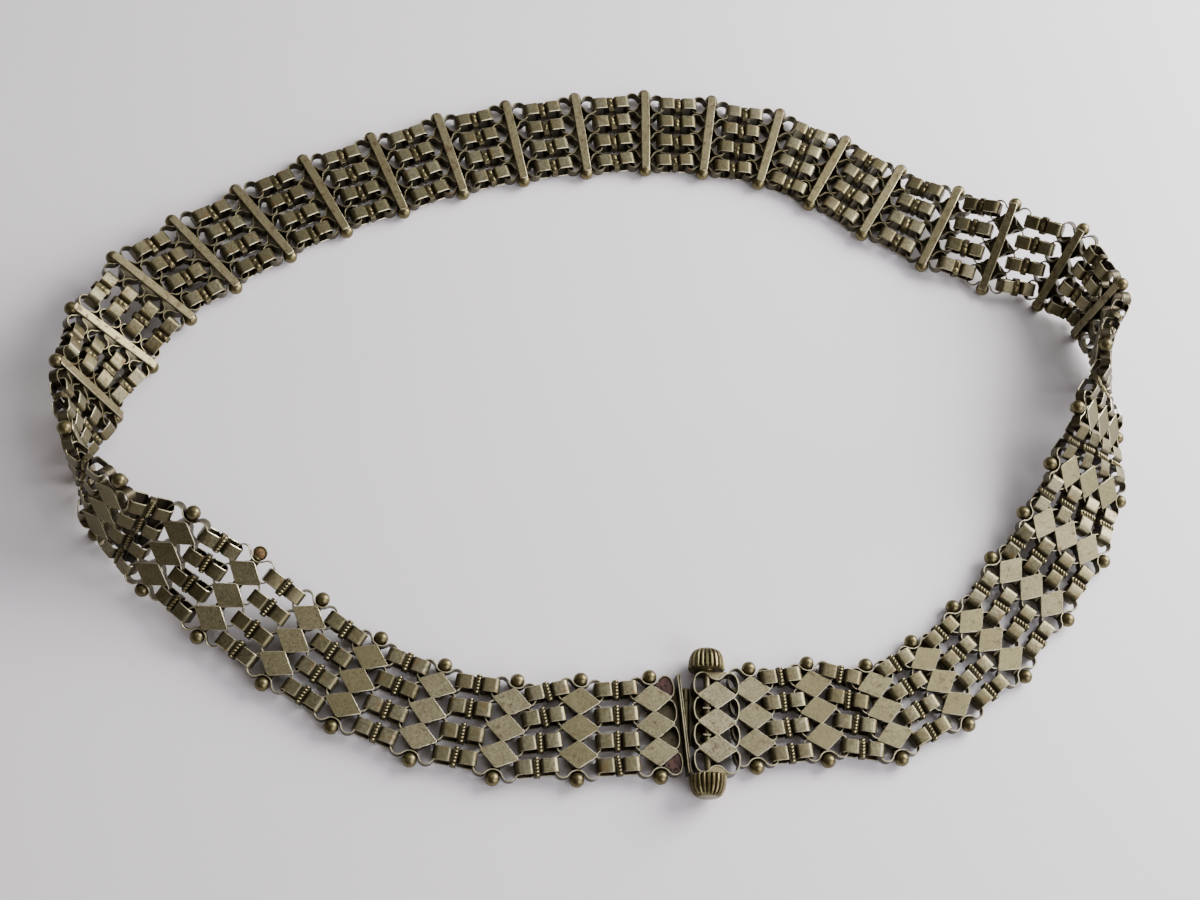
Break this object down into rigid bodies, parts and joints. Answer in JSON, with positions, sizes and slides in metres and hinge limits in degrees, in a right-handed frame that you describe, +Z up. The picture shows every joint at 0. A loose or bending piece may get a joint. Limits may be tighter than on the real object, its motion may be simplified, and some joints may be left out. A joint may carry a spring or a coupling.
{
  "type": "strip-work chain belt",
  "caption": "Wide metal chain belt of open strip-work crossings with diamond plates, joined four abreast by bow links and closed by a pin with fluted knobs; lies in a ring.",
  "frame": {"origin": "middle of the footprint on the table the belt lies on", "axes": "+Z up; +X to the right and +Y away from the viewer as the belt lies, with the clasp at the front (-Y)"},
  "size_m": [0.3523, 0.2571, 0.0359],
  "materials": {
    "aged_metal": "aged nickel silver, satin, dark in the recesses",
    "link_metal": "aged nickel silver strip with brassy collars, satin",
    "resin": "old reddish-brown resin, pitted"
  },
  "bodies": {
    "root": {"crossing_01": "aged_metal", "crossing_02": "aged_metal", "crossing_03": "aged_metal", "crossing_04": "aged_metal", "crossing_05": "aged_metal", "crossing_06": "aged_metal", "crossing_07": "aged_metal", "crossing_08": "aged_metal", "crossing_09": "aged_metal", "crossing_10": "aged_metal", "crossing_11": "aged_metal", "crossing_12": "aged_metal", "crossing_13": "aged_metal", "crossing_14": "aged_metal", "crossing_15": "aged_metal", "crossing_16": "aged_metal", "crossing_17": "aged_metal", "crossing_18": "aged_metal", "crossing_19": "aged_metal", "crossing_20": "aged_metal", "crossing_21": "aged_metal", "crossing_22": "aged_metal", "crossing_23": "aged_metal", "crossing_24": "aged_metal", "crossing_25": "aged_metal", "crossing_26": "aged_metal", "crossing_27": "aged_metal", "crossing_28": "aged_metal", "crossing_29": "aged_metal", "crossing_33": "aged_metal", "crossing_34": "aged_metal", "crossing_35": "aged_metal", "crossing_36": "aged_metal", "crossing_37": "aged_metal", "crossing_38": "aged_metal", "crossing_39": "aged_metal", "crossing_40": "aged_metal", "clasp_right": "aged_metal", "clasp_left": "aged_metal", "clasp_resin": "resin", "clasp_pin": "aged_metal", "links_1": "link_metal", "links_2": "link_metal", "links_3": "link_metal", "links_4": "link_metal"}
  },
  "joints": []
}
